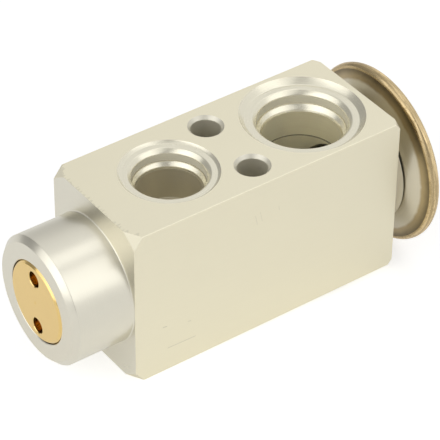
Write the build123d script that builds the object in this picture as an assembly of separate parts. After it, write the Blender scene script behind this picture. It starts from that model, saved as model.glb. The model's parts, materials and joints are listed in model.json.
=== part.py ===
from build123d import *
import math
import os

# Block-type thermostatic expansion valve. Millimetres.
# Origin: middle of the bolt-hole pattern on the port face. +Z leaves the port face, +X runs along the
# block towards the power head, and the valve axis lies along X at half the block's height.

# ---- block: extruded bar, turned at both ends
block_length = 65.8
block_width = 28.4
block_height = 37.0
bar_edge_chamfer = 0.3
end_cone_radius = 21.2          # where the turned chamfer meets the end face beside the spigot
end_cone_run = 2.6              # length of that chamfer along the block, at 45 degrees
head_cone_radius = 22.3         # the same at the power head's end
head_cone_run = 1.5

# ---- spigot that holds the adjusting plug, and boss that carries the power head
spigot_radius = 14.0
spigot_length = 13.8
spigot_chamfer = 1.2
base_fillet = 0.5
boss_wall = 2.9                 # round the power head's neck
boss_length = 2.3

# ---- bolt holes, right through
bolt_spacing = 16.0
bolt_hole_radius = 3.15
bolt_sink_width = 0.65
bolt_sink_depth = 0.75

# ---- ports: seat profiles as (radius beyond the pilot bore, depth) from the face inwards
liquid_port_x = -14.7
liquid_seat = [(3.5, 0.0), (3.0, 0.5), (1.7, 0.5), (0.85, 1.35), (0.85, 3.2), (0.15, 4.05)]
liquid_pilot_radius = 6.75
liquid_lip_depth = 4.6
liquid_pilot_depth = 12.0
suction_port_x = 18.55
suction_seat = [(4.7, 0.0), (3.55, 1.15), (2.0, 1.15), (1.1, 2.05), (1.1, 4.15), (0.25, 5.0)]
suction_pilot_radius = 8.3
suction_lip_depth = 5.5
suction_pilot_depth = 11.5
suction_bore_step = 0.5         # at the pilot bore's end, down to the bore right through

# ---- adjusting plug and its bore
plug_thread_radius = 9.05
plug_nose_step = 0.7            # from the thread's radius down to the nose's
plug_thread_length = 6.85
plug_nose_length = 7.1
plug_stand = 0.25               # how far the plug's face stands out of the spigot
plug_rim_chamfer = 0.6
plug_bore_clearance = 0.05
plug_travel_in = 3.0            # two turns of the thread
thread_end_clearance = 0.4
spanner_hole_radius = 1.72
spanner_hole_spacing = 11.45
spanner_hole_depth = 3.2
centre_mark_radius = 0.45
spring_socket_radius = 5.2
spring_socket_depth = 4.5
plug_groove_width = 2.0
plug_groove_end_wall = 0.7
plug_ring_section = 0.75        # half the groove's depth
plug_ring_gap = 0.03

# ---- valve chamber, orifice and inner passages
chamber_radius = 5.5
seat_from_port = 0.7            # valve seat, measured from the liquid port's centre
orifice_radius = 1.5
seat_cone_radius = 2.4
orifice_length = 1.3
outlet_chamber_radius = 2.6
outlet_chamber_length = 4.8
inlet_hole_radius = 3.0
inlet_hole_offset = 3.2         # towards the spigot from the port's centre
outlet_hole_radius = 2.4
outlet_hole_offset = 4.0        # towards the power head from the port's centre

# ---- ball, carrier, damper and spring
ball_radius = 2.5
ball_seat_gap = 0.05
carrier_gap = 0.03
carrier_nose_radius = 3.2
carrier_nose_start = 1.0        # nose face, behind the ball's centre
carrier_nose_length = 3.8
carrier_flange_gap = 0.6        # to the chamber's wall
carrier_flange_thickness = 1.5
carrier_stem_gap = 0.7          # to the spring's inside
carrier_stem_length = 5.5
damper_thickness = 0.3
damper_leg_count = 4
damper_leg_width = 2.6
damper_leg_length = 2.6
damper_wall_gap = 0.12
spring_wire_radius = 0.6
spring_socket_gap = 0.5         # from the spring's outside to its socket's wall
spring_turns = 6
spring_end_gap = 0.05

# ---- operating rod and its seal
rod_radius = 1.2
rod_guide_clearance = 0.05
rod_socket_depth = 2.0
seal_pocket_x = 3.0             # bottom of the seal pocket
seal_pocket_radius = 3.15
seal_section = 0.9
washer_thickness = 0.5
push_nut_thickness = 0.4
push_nut_teeth = 6
push_nut_clearance = 0.15
push_nut_slot_width = 0.7
push_nut_slot_depth = 0.66

# ---- sensing rod, sleeve and diaphragm stop
sensing_rod_radius = 3.0
rod_foot_gap = 0.51             # left over the push nut with the valve wide open
sleeve_radius = 4.3
sleeve_length = 10.0
sleeve_from_port = 2.6          # sleeve's foot, from the suction port's centre
head_passage_radius = 5.6
fit_clearance = 0.02
valve_lift = 0.75
stop_edge_gap = 0.4             # from the stop plate's edge to the diaphragm's wave
stop_end_gap = 0.1              # left under the stop plate with the valve wide open
stop_hub_radius = 4.6
stop_hub_length = 1.7
stop_socket_depth = 2.2

# ---- power head
neck_radius = 11.0
neck_length = 5.7               # from the shoulder to the neck's end inside the block
neck_clearance = 0.05
neck_floor_gap = 0.4
gasket_thickness = 0.4
gasket_bore_gap = 0.4           # between gasket and neck
gasket_edge_inset = 0.1         # gasket's edge inside the shoulder's
cover_thickness = 1.1
shoulder_width = 2.6            # beyond the neck
cone_rise = 1.8                 # along X, from shoulder to the foot of the lip
lip_width = 2.0
lip_rise = 0.5
lip_clamp_width = 1.65          # of the lip's clamping face
rim_radius = 20.1
rim_crown = 1.05                # how far the weld stands out from the lips
weld_sink = 0.05                # upsetting of the lips under the weld
diaphragm_thickness = 0.1
wave_edge_gap = 1.0             # from the wave to the clamping face
wave_width = 3.6
wave_height = 0.35
dome_foot_gap = 0.25            # from the wave to the dome's inner foot
dome_height = 2.7
dome_bend_width = 4.3           # from the dome's foot to its bend
dome_bend_height = 1.95
dome_flat_radius = 5.0
fill_hole_radius = 1.3
charge_plug_radius = 3.0
charge_plug_height = 1.4
charge_plug_edge = 0.63         # height of its straight side

# ---- how far cutters run past the surface they open
cut_margin = 1.0

# ---- places worked out from the sizes above
axis_z = -block_height / 2
block_end = block_length / 2
spigot_face = -block_end - spigot_length
boss_face = block_end + boss_length
plug_face = spigot_face - plug_stand
plug_step = plug_face + plug_thread_length
plug_end = plug_step + plug_nose_length
thread_bore_end = plug_step + plug_travel_in + thread_end_clearance
plug_bore_end = plug_end + plug_travel_in + thread_end_clearance
spring_foot = plug_end - spring_socket_depth
seat_x = liquid_port_x + seat_from_port
orifice_end = seat_x + seat_cone_radius - orifice_radius + orifice_length
outlet_end = orifice_end + outlet_chamber_length
bolt_sink_radius = bolt_hole_radius + bolt_sink_width
suction_bore_radius = suction_pilot_radius - suction_bore_step
plug_nose_radius = plug_thread_radius - plug_nose_step
carrier_flange_radius = chamber_radius - carrier_flange_gap
spring_mean_radius = spring_socket_radius - spring_socket_gap - spring_wire_radius
carrier_stem_radius = spring_mean_radius - spring_wire_radius - carrier_stem_gap
# the ball touches the 45-degree seat cone at this radius, less its gap along the axis
ball_contact = ball_radius * math.sqrt(0.5)
ball_x = seat_x + seat_cone_radius - 2 * ball_contact - ball_seat_gap * math.sqrt(2)
nose_face = ball_x - carrier_nose_start
flange_front = nose_face - carrier_nose_length
flange_back = flange_front - carrier_flange_thickness
washer_x = seal_pocket_x + 2 * (seal_section + fit_clearance)
push_nut_x = washer_x + washer_thickness
sensing_foot = push_nut_x + push_nut_thickness + valve_lift + rod_foot_gap
shoulder_x = boss_face + gasket_thickness
neck_end = shoulder_x - neck_length
lip_x = shoulder_x + cone_rise
lower_floor = shoulder_x + cover_thickness
clamp_x = lip_x + lip_rise + cover_thickness + weld_sink
diaphragm_top = clamp_x + diaphragm_thickness
upper_lip_top = diaphragm_top + cover_thickness
dome_top = upper_lip_top + dome_height
dome_inside = dome_top - cover_thickness
stop_back = lower_floor + valve_lift + stop_end_gap
sensing_head = stop_back - stop_hub_length + stop_socket_depth
# radii of the power head, from the neck outwards and from the weld's crest inwards
boss_radius = neck_radius + boss_wall
shoulder_radius = neck_radius + shoulder_width
lip_radius = rim_radius - rim_crown
cone_end_radius = lip_radius - lip_width
lip_seat_radius = lip_radius - lip_clamp_width
wave_outer_radius = lip_seat_radius - wave_edge_gap
wave_inner_radius = wave_outer_radius - wave_width
stop_radius = wave_inner_radius - stop_edge_gap
dome_inner_foot = wave_outer_radius + dome_foot_gap
dome_outer_foot = dome_inner_foot + cover_thickness / 2


def face_from(*lines):
    """Flat face in the XY plane bounded by the given lines, which join end to end."""
    return make_face(Curve() + list(lines))


def turned(face):
    """Solid of revolution about the valve axis from a face with X along the axis and Y as radius."""
    return Pos(0, 0, axis_z) * revolve(face, Axis.X, 360)


def turned_points(*points):
    """Turned solid from straight (x, radius) corners."""
    return turned(face_from(Polyline(*points, close=True)))


def axial_rod(radius, x_from, x_to):
    """Plain cylinder on the valve axis."""
    return turned_points((x_from, 0), (x_to, 0), (x_to, radius), (x_from, radius))


def axial_tube(inner, outer, x_from, x_to):
    """Plain ring on the valve axis."""
    return turned_points((x_from, inner), (x_to, inner), (x_to, outer), (x_from, outer))


def axial_ring_seal(centre_radius, section, x):
    """Round-section seal ring on the valve axis."""
    return turned(Pos(x, centre_radius) * Circle(section))


# ---------------------------------------------------------------- valve body


def turned_stock():
    """Everything the lathe leaves of the bar: spigot, end cones and head boss."""
    spigot_end_crest = end_cone_radius + end_cone_run
    head_end_crest = head_cone_radius + head_cone_run
    start = Polyline(
        (spigot_face, 0),
        (spigot_face, spigot_radius - spigot_chamfer),
        (spigot_face + spigot_chamfer, spigot_radius),
        (-block_end - base_fillet, spigot_radius),
    )
    spigot_fillet = RadiusArc(
        (-block_end - base_fillet, spigot_radius), (-block_end, spigot_radius + base_fillet), base_fillet
    )
    cones = Polyline(
        (-block_end, spigot_radius + base_fillet),
        (-block_end, end_cone_radius),
        (-block_end + end_cone_run, spigot_end_crest),
        (block_end - head_cone_run, head_end_crest),
        (block_end, head_cone_radius),
        (block_end, boss_radius + base_fillet),
    )
    boss_fillet = RadiusArc(
        (block_end, boss_radius + base_fillet), (block_end + base_fillet, boss_radius), base_fillet
    )
    finish = Polyline(
        (block_end + base_fillet, boss_radius), (boss_face, boss_radius), (boss_face, 0), (spigot_face, 0)
    )
    return turned(face_from(start, spigot_fillet, cones, boss_fillet, finish))


def bar():
    """Extruded rectangular bar with its four long edges broken."""
    length = boss_face - spigot_face
    middle = (boss_face + spigot_face) / 2
    block = Pos(middle, 0, axis_z) * Box(length, block_width, block_height)
    return chamfer(block.edges().filter_by(Axis.X), bar_edge_chamfer)


def port_cut(seat, pilot_radius, lip_depth, pilot_depth):
    """Cutter for one port, turned about Z with its mouth at z = 0: seat steps, lip and pilot bore."""
    mouth_radius = pilot_radius + seat[0][0]
    corners = [(0, cut_margin), (mouth_radius, cut_margin)]
    corners += [(pilot_radius + width, -depth) for width, depth in seat]
    corners += [(pilot_radius, -lip_depth), (pilot_radius, -pilot_depth), (0, -pilot_depth)]
    profile = Plane.XZ * face_from(Polyline(*corners, close=True))
    return revolve(profile, Axis.Z, 360)


def both_faces(cutter, x, y=0):
    """The same cutter from the port face and, turned over, from the opposite face."""
    return [Pos(x, y, 0) * cutter, Pos(x, y, -block_height) * Rot(180, 0, 0) * cutter]


def bolt_cut():
    """Half of a through hole, countersunk at its mouth."""
    corners = [
        (0, cut_margin),
        (bolt_sink_radius, cut_margin),
        (bolt_sink_radius, 0),
        (bolt_hole_radius, -bolt_sink_depth),
        (bolt_hole_radius, axis_z - cut_margin),
        (0, axis_z - cut_margin),
    ]
    return revolve(Plane.XZ * face_from(Polyline(*corners, close=True)), Axis.Z, 360)


def passage_cuts():
    """Ports, inner passages between the ports and the valve axis, and bolt holes."""
    liquid = port_cut(liquid_seat, liquid_pilot_radius, liquid_lip_depth, liquid_pilot_depth)
    suction = port_cut(suction_seat, suction_pilot_radius, suction_lip_depth, suction_pilot_depth)
    cuts = both_faces(liquid, liquid_port_x) + both_faces(suction, suction_port_x)
    for side in (-1, 1):
        cuts += both_faces(bolt_cut(), 0, side * bolt_spacing / 2)
    cuts.append(Pos(suction_port_x, 0, axis_z) * Cylinder(suction_bore_radius, block_height / 2))
    drop = block_height / 2 - liquid_pilot_depth + cut_margin
    inlet = Pos(liquid_port_x - inlet_hole_offset, 0, axis_z + drop / 2)
    cuts.append(inlet * Cylinder(inlet_hole_radius, drop))
    outlet = Pos(liquid_port_x + outlet_hole_offset, 0, axis_z - drop / 2)
    cuts.append(outlet * Cylinder(outlet_hole_radius, drop))
    return cuts


def axial_cuts():
    """Everything bored along the valve axis, from the spigot face to the power head."""
    thread_bore = plug_thread_radius + plug_bore_clearance
    nose_bore = plug_nose_radius + plug_bore_clearance
    guide = rod_radius + rod_guide_clearance
    neck_bore = neck_radius + neck_clearance
    neck_floor = neck_end - neck_floor_gap
    valve_side = turned_points(
        (spigot_face - cut_margin, 0),
        (spigot_face - cut_margin, thread_bore),
        (thread_bore_end, thread_bore),
        (thread_bore_end + thread_bore - nose_bore, nose_bore),
        (plug_bore_end, nose_bore),
        (plug_bore_end, chamber_radius),
        (seat_x, chamber_radius),
        (seat_x, seat_cone_radius),
        (seat_x + seat_cone_radius - orifice_radius, orifice_radius),
        (orifice_end, orifice_radius),
        (orifice_end, outlet_chamber_radius),
        (outlet_end, outlet_chamber_radius),
        (outlet_end, guide),
        (seal_pocket_x, guide),
        (seal_pocket_x, seal_pocket_radius),
        (suction_port_x, seal_pocket_radius),
        (suction_port_x, 0),
    )
    head_side = turned_points(
        (suction_port_x, 0),
        (suction_port_x, head_passage_radius),
        (neck_floor, head_passage_radius),
        (neck_floor, neck_bore),
        (boss_face + cut_margin, neck_bore),
        (boss_face + cut_margin, 0),
    )
    return [valve_side, head_side]


def valve_body():
    """One aluminium piece: extruded bar, turned ends, cross passages and axial bores."""
    stock = bar() & turned_stock()
    return stock - passage_cuts() - axial_cuts()


# ---------------------------------------------------------------- adjusting end


def adjusting_plug():
    """Brass screw plug: rim chamfer, two spanner holes, seal groove and spring socket."""
    groove_end = plug_end - plug_groove_end_wall
    groove_start = groove_end - plug_groove_width
    groove_floor = plug_nose_radius - 2 * plug_ring_section
    plug = turned_points(
        (plug_face, 0),
        (plug_face, plug_thread_radius - plug_rim_chamfer),
        (plug_face + plug_rim_chamfer, plug_thread_radius),
        (plug_step, plug_thread_radius),
        (plug_step, plug_nose_radius),
        (groove_start, plug_nose_radius),
        (groove_start, groove_floor),
        (groove_end, groove_floor),
        (groove_end, plug_nose_radius),
        (plug_end, plug_nose_radius),
        (plug_end, spring_socket_radius),
        (spring_foot, spring_socket_radius),
        (spring_foot, 0),
    )
    for side in (-1, 1):
        place = Pos(plug_face, 0, axis_z + side * spanner_hole_spacing / 2) * Rot(0, 90, 0)
        plug -= place * Cylinder(spanner_hole_radius, 2 * spanner_hole_depth)
    mark = turned_points((plug_face, 0), (plug_face, centre_mark_radius), (plug_face + centre_mark_radius, 0))
    return plug - mark


def plug_o_ring():
    """Seal in the plug's groove."""
    middle = plug_end - plug_groove_end_wall - plug_groove_width / 2
    return axial_ring_seal(plug_nose_radius - plug_ring_section, plug_ring_section - plug_ring_gap, middle)


def superheat_spring():
    """Coil spring from the plug's socket to the back of the carrier's flange."""
    inset = spring_wire_radius + spring_end_gap
    start = spring_foot + inset
    length = flange_back - inset - start
    path = Helix(length / spring_turns, length, spring_mean_radius)
    section = Plane(path @ 0, z_dir=path % 0) * Circle(spring_wire_radius)
    coil = sweep(section, path=path)
    return Pos(start, 0, axis_z) * Rot(0, 90, 0) * coil


# ---------------------------------------------------------------- valve train


def valve_ball():
    """Steel ball that closes the orifice."""
    return Pos(ball_x, 0, axis_z) * Sphere(ball_radius)


def ball_carrier():
    """Cup with a 45-degree dimple for the ball, a flange for the spring and a stem inside it."""
    apex = ball_x - 2 * ball_contact - carrier_gap * math.sqrt(2)
    cup = nose_face - apex
    stem_end = flange_back - carrier_stem_length
    return turned_points(
        (apex, 0),
        (nose_face, cup),
        (nose_face, carrier_nose_radius),
        (flange_front, carrier_nose_radius),
        (flange_front, carrier_flange_radius),
        (flange_back, carrier_flange_radius),
        (flange_back, carrier_stem_radius),
        (stem_end, carrier_stem_radius),
        (stem_end, 0),
    )


def damper_spring():
    """Thin ring in front of the flange with legs that bear on the chamber wall."""
    inner = carrier_nose_radius + fit_clearance
    outer = chamber_radius - damper_wall_gap
    ring = axial_tube(inner, outer, flange_front, flange_front + damper_thickness)
    legs = axial_tube(outer - damper_thickness, outer, flange_front, flange_front + damper_leg_length)
    clip = ring + legs
    step = 360 / damper_leg_count
    gap = 2 * math.pi * outer / damper_leg_count - damper_leg_width
    depth = outer - carrier_flange_radius + damper_thickness
    for leg in range(damper_leg_count):
        slot = Box(4 * damper_leg_length, gap, 2 * depth)
        turn = Pos(flange_front, 0, axis_z) * Rot((leg + 0.5) * step, 0, 0)
        clip -= turn * Pos(0, 0, outer) * slot
    return clip


def operating_rod():
    """Thin rod from the ball, through the orifice and the seal, into the sensing rod's foot."""
    return axial_rod(rod_radius, ball_x + ball_radius + carrier_gap, sensing_foot + rod_socket_depth)


def sensing_rod():
    """Rod across the suction passage, with a socket for the operating rod in its foot."""
    socket = rod_radius + fit_clearance
    return turned_points(
        (sensing_foot, socket),
        (sensing_foot, sensing_rod_radius),
        (sensing_head, sensing_rod_radius),
        (sensing_head, 0),
        (sensing_foot + rod_socket_depth, 0),
        (sensing_foot + rod_socket_depth, socket),
    )


def insulating_sleeve():
    """Resin sleeve on the sensing rod."""
    start = suction_port_x + sleeve_from_port
    return axial_tube(sensing_rod_radius + fit_clearance, sleeve_radius, start, start + sleeve_length)


def diaphragm_stop():
    """Plate under the diaphragm, with a hub that takes the sensing rod's head."""
    hub_end = stop_back - stop_hub_length
    socket = sensing_rod_radius + fit_clearance
    return turned_points(
        (hub_end, socket),
        (hub_end, stop_hub_radius),
        (stop_back, stop_hub_radius),
        (stop_back, stop_radius),
        (clamp_x, stop_radius),
        (clamp_x, 0),
        (sensing_head, 0),
        (sensing_head, socket),
    )


# ---------------------------------------------------------------- rod seal


def rod_o_ring():
    """Seal round the operating rod, at the bottom of its pocket."""
    reach = seal_section + fit_clearance
    return axial_ring_seal(rod_radius + reach, seal_section, seal_pocket_x + reach)


def backup_washer():
    """Flat washer against the rod seal."""
    inner = rod_radius + rod_guide_clearance
    return axial_tube(inner, seal_pocket_radius - fit_clearance, washer_x, push_nut_x)


def push_nut():
    """Toothed washer pushed into the pocket to hold washer and seal."""
    outer = seal_pocket_radius - fit_clearance
    inner = rod_radius + push_nut_clearance
    nut = axial_tube(inner, outer, push_nut_x, push_nut_x + push_nut_thickness)
    slot = Box(4 * push_nut_thickness, push_nut_slot_width, 2 * push_nut_slot_depth)
    for tooth in range(push_nut_teeth):
        turn = Pos(push_nut_x, 0, axis_z) * Rot(tooth * 360 / push_nut_teeth, 0, 0)
        nut -= turn * Pos(0, 0, outer) * slot
    return nut


# ---------------------------------------------------------------- power head


def head_gasket():
    """Ring between the block's boss and the lower cover's shoulder."""
    inner = neck_radius + gasket_bore_gap
    return axial_tube(inner, shoulder_radius - gasket_edge_inset, boss_face, shoulder_x)


def lower_cover():
    """Pressing with a tubular neck, a flat shoulder, a cone and a lip."""
    neck_inner = neck_radius - cover_thickness
    slope = (cone_end_radius - shoulder_radius) / cone_rise
    inner_foot = lip_seat_radius - slope * (clamp_x - lower_floor)
    return turned_points(
        (neck_end, neck_inner),
        (neck_end, neck_radius),
        (shoulder_x, neck_radius),
        (shoulder_x, shoulder_radius),
        (lip_x, cone_end_radius),
        (lip_x + lip_rise, lip_radius),
        (clamp_x, lip_radius),
        (clamp_x, lip_seat_radius),
        (lower_floor, inner_foot),
        (lower_floor, neck_inner),
    )


def diaphragm():
    """Thin disc clamped in the rim, with one round wave outside the stop plate."""
    middle = (wave_inner_radius + wave_outer_radius) / 2

    def surface(x):
        return [
            Line((x, 0), (x, wave_inner_radius)),
            Spline(
                (x, wave_inner_radius), (x + wave_height, middle), (x, wave_outer_radius),
                tangents=[(0, 1), (0, 1)],
            ),
            Line((x, wave_outer_radius), (x, lip_radius)),
        ]

    ends = [Line((clamp_x, 0), (diaphragm_top, 0)), Line((clamp_x, lip_radius), (diaphragm_top, lip_radius))]
    return turned(face_from(*surface(clamp_x), *surface(diaphragm_top), *ends))


def upper_cover():
    """Domed pressing that holds the charge above the diaphragm."""
    outer_foot = (upper_lip_top, dome_outer_foot)
    outer_bend = (upper_lip_top + dome_bend_height, dome_outer_foot - dome_bend_width)
    outer_top = (dome_top, dome_flat_radius)
    inner_foot = (diaphragm_top, dome_inner_foot)
    inner_bend = (diaphragm_top + dome_bend_height, dome_inner_foot - dome_bend_width)
    inner_top = (dome_inside, dome_flat_radius)
    lip = Polyline(inner_foot, (diaphragm_top, lip_radius), (upper_lip_top, lip_radius), outer_foot)
    outside = Spline(outer_foot, outer_bend, outer_top, tangents=[(1, -1), (0, -1)])
    fill_hole = Polyline(outer_top, (dome_top, fill_hole_radius), (dome_inside, fill_hole_radius), inner_top)
    inside = Spline(inner_top, inner_bend, inner_foot, tangents=[(0, 1), (-1, 1)])
    return turned(face_from(lip, outside, fill_hole, inside))


def rim_weld():
    """Rounded weld bead that joins lower cover, diaphragm and upper cover."""
    start = (lip_x + lip_rise, lip_radius)
    end = (upper_lip_top, lip_radius)
    crest = ((start[0] + end[0]) / 2, rim_radius)
    return turned(face_from(ThreePointArc(start, crest, end), Line(end, start)))


def charge_plug():
    """Plug in the fill hole, with a low domed head."""
    stem = fill_hole_radius - fit_clearance
    foot = (dome_inside, 0)
    crown = (dome_top + charge_plug_height, 0)
    shoulder = (dome_top + charge_plug_edge, charge_plug_radius)
    side = Polyline(foot, (dome_inside, stem), (dome_top, stem), (dome_top, charge_plug_radius), shoulder)
    head = Spline(shoulder, crown, tangents=[(1, -1), (0, -1)])
    return turned(face_from(side, head, Line(crown, foot)))


parts = {
    "valve_body": valve_body,
    "adjusting_plug": adjusting_plug,
    "plug_o_ring": plug_o_ring,
    "superheat_spring": superheat_spring,
    "ball_carrier": ball_carrier,
    "damper_spring": damper_spring,
    "valve_ball": valve_ball,
    "operating_rod": operating_rod,
    "rod_o_ring": rod_o_ring,
    "backup_washer": backup_washer,
    "push_nut": push_nut,
    "sensing_rod": sensing_rod,
    "insulating_sleeve": insulating_sleeve,
    "diaphragm_stop": diaphragm_stop,
    "head_gasket": head_gasket,
    "lower_cover": lower_cover,
    "diaphragm": diaphragm,
    "upper_cover": upper_cover,
    "rim_weld": rim_weld,
    "charge_plug": charge_plug,
}

os.makedirs("parts", exist_ok=True)
for name, make in parts.items():
    export_step(make(), f"parts/{name}.step")
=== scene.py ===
"""Block-type thermostatic expansion valve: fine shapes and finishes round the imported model."""

import json
import math
from collections import namedtuple

import bmesh
import bpy
from bpy.props import FloatProperty, FloatVectorProperty, PointerProperty
from mathutils import Matrix, Quaternion, Vector


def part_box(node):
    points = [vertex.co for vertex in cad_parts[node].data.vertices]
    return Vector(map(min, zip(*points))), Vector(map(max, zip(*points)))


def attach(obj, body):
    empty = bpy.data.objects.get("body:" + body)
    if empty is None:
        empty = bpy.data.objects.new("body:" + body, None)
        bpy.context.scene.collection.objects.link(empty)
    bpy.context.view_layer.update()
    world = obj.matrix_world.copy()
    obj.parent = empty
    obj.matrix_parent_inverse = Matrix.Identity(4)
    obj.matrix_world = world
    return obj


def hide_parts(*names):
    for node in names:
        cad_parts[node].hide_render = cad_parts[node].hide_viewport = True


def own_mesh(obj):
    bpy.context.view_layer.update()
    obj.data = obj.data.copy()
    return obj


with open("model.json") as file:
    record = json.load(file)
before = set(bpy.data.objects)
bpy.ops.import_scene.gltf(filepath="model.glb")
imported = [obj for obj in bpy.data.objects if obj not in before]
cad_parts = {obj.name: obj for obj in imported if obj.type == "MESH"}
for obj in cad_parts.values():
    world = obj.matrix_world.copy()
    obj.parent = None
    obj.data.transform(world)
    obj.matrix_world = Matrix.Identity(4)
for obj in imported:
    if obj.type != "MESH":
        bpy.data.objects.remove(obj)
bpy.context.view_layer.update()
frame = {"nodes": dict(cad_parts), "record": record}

bl_info = {
    "name": "Block Expansion Valve",
    "version": (1, 0, 0),
    "blender": (4, 5, 0),
    "location": "View3D > Sidebar > Valve",
    "description": "Builds a block-type thermostatic expansion valve round its frame",
    "category": "Add Mesh",
}

# ---- places read from the frame

MM = 0.001
MOUNTS = {mount["name"]: mount for mount in frame["record"]["mounts"]}
BODY_LOW, BODY_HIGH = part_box("valve_body")
PLUG_LOW, PLUG_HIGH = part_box("adjusting_plug")
GASKET_LOW, GASKET_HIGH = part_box("head_gasket")
LOWER_LOW, LOWER_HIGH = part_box("lower_cover")
UPPER_LOW, UPPER_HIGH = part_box("upper_cover")
RIM_LOW, RIM_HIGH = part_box("rim_weld")
CHARGE_LOW, CHARGE_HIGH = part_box("charge_plug")

FLOOR_FACE = BODY_LOW[2]
AXIS_Z = FLOOR_FACE / 2
SPIGOT_FACE = BODY_LOW[0]
BOSS_FACE = BODY_HIGH[0]
BLOCK_WIDTH = BODY_HIGH[1] - BODY_LOW[1]
LIQUID_X = MOUNTS["liquid_port"]["pos_m"][0]
SUCTION_X = MOUNTS["suction_port"]["pos_m"][0]
LIQUID_PILOT = MOUNTS["liquid_port"]["dims"]["r_mm"] * MM
SUCTION_PILOT = MOUNTS["suction_port"]["dims"]["r_mm"] * MM
BOLT_RADIUS = MOUNTS["bolt_holes"]["dims"]["hole_r_mm"] * MM
BOLT_Y = MOUNTS["bolt_holes"]["dims"]["spacing_y_mm"] * MM / 2

# ---- driving shapes: bare numbers are millimetres

# seat steps as (width beyond the pilot bore, depth, rounding)
LIQUID_SEAT = [
    (3.5, 0.0, 0.0),
    (3.0, 0.5, 0.08),
    (1.7, 0.5, 0.16),
    (0.85, 1.35, 0.22),
    (0.85, 3.2, 0.3),
    (0.15, 4.05, 0.1),
    (0.0, 4.6, 0.08),
]
SUCTION_SEAT = [
    (4.7, 0.0, 0.0),
    (3.55, 1.15, 0.12),
    (2.0, 1.15, 0.2),
    (1.1, 2.05, 0.25),
    (1.1, 4.15, 0.35),
    (0.25, 5.0, 0.1),
    (0.0, 5.5, 0.08),
]
# bores along the valve axis as (from x, radius), towards the power head
VALVE_BORES = [(-36.7, 8.4), (-29.6, 5.5), (-14.0, 2.4), (-13.1, 1.5)]
VALVE_BORES += [(-11.8, 2.6), (-7.0, 1.25), (3.0, 3.15)]
# drilled holes between a liquid port and the valve axis, as (x from the port's centre, radius)
INLET = (-3.2, 3.0)
OUTLET = (4.0, 2.4)
DRILL_OVERLAP = 0.5 * MM
# space for the power head's neck
NECK_BORE = 11.05 * MM
NECK_FLOOR_GAP = 0.4 * MM
GASKET_INNER = 11.4 * MM
# depth at which the two suction bores meet the narrower one between them
SUCTION_STEP = 11.5
# rounding of the plug's edges
PLUG_EDGE = 0.08 * MM
# how far a cutter reaches out of the metal
OVERSHOOT = 1.0 * MM

# ---- fineness of the meshes

STEPS = 288
BORE_STEPS = 192
BOLT_STEPS = 128
SMALL_STEPS = 96
HOLE_STEPS = 64
ROUND_SEGMENTS = 4
EDGE_SEGMENTS = 3
# closest that two corners may lie
MERGE = 0.0005 * MM


def number(label, text, value, **kind):
    """A number that a user may change."""
    return FloatProperty(name=label, description=text, default=value, min=0.0, **kind)


def length(label, text, millimetres):
    """A size, stored in metres."""
    return number(label, text, millimetres * MM, unit="LENGTH")


def tint(label, text, *colour):
    """A linear colour."""
    limits = {"size": 3, "min": 0.0, "max": 1.0}
    return FloatVectorProperty(name=label, description=text, default=colour, subtype="COLOR", **limits)


def angle(label, text, degrees):
    """An angle, stored in radians."""
    return FloatProperty(name=label, description=text, default=math.radians(degrees), unit="ROTATION")


class BlockSizes(bpy.types.PropertyGroup):
    length: length("Length", "Block between its two end faces", 65.8)
    edge_round: length("Edge rounding", "Rounding of the four long edges", 0.14)
    cone_radius: length("End cone radius", "Where the chamfer meets the spigot's end face", 21.2)
    cone_run: length("End cone run", "Length of that chamfer along the block", 2.6)
    head_cone_radius: length("Head cone radius", "The same at the power head's end", 22.3)
    head_cone_run: length("Head cone run", "Length of the chamfer at that end", 1.5)
    spigot_radius: length("Spigot radius", "Spigot that holds the adjusting plug", 14.0)
    spigot_chamfer: length("Spigot chamfer", "Chamfer at the spigot's face", 1.2)
    boss_radius: length("Boss radius", "Boss that carries the power head", 13.9)
    base_fillet: length("Base fillet", "Fillet where spigot and boss meet the block", 0.25)
    turned_break: length("Edge break", "Tiny rounding of turned edges", 0.09)
    port_break: length("Port edge break", "Tiny chamfer at the mouth of each port", 0.12)
    pilot_depth: length("Liquid pilot depth", "Floor of the liquid port's pilot bore", 12.0)
    suction_depth: length("Suction pilot depth", "Step of the suction port's pilot bore", SUCTION_STEP)
    suction_bore: length("Suction bore radius", "Bore between the suction ports", 8.18)
    bolt_sink: length("Countersink width", "Countersink of the bolt holes", 0.65)
    bolt_sink_depth: length("Countersink depth", "Depth of that countersink", 0.75)
    head_passage: length("Head passage radius", "Bore from there to the power head", 6.4)


class PlugSizes(bpy.types.PropertyGroup):
    rim_chamfer: length("Rim chamfer", "Bevel round the plug's face", 0.6)
    hole_radius: length("Spanner hole radius", "The two holes for a pin spanner", 1.72)
    hole_spacing: length("Spanner hole spacing", "Distance between those holes", 11.45)
    hole_turn: angle("Spanner hole turn", "How far past upright they have stopped", 3.4)
    hole_depth: length("Spanner hole depth", "Depth of those holes", 3.2)
    hole_break: length("Spanner hole chamfer", "Chamfer at the mouth of those holes", 0.14)
    mark_radius: length("Centre mark radius", "Turning mark in the middle of the face", 0.45)
    mark_depth: length("Centre mark depth", "Depth of that mark", 0.2)
    nose_step: length("Nose step", "From the thread down to the nose", 0.7)
    thread_length: length("Thread length", "Threaded part of the plug", 6.85)
    groove_width: length("Groove width", "Seal groove", 2.0)
    groove_depth: length("Groove depth", "Depth of the seal groove", 1.5)
    groove_wall: length("Groove end wall", "Wall between groove and the plug's end", 0.7)
    socket_radius: length("Socket radius", "Socket for the superheat spring", 5.2)
    socket_depth: length("Socket depth", "Depth of that socket", 4.5)
    bore_clearance: length("Bore clearance", "Between the plug and its bore", 0.05)


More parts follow.
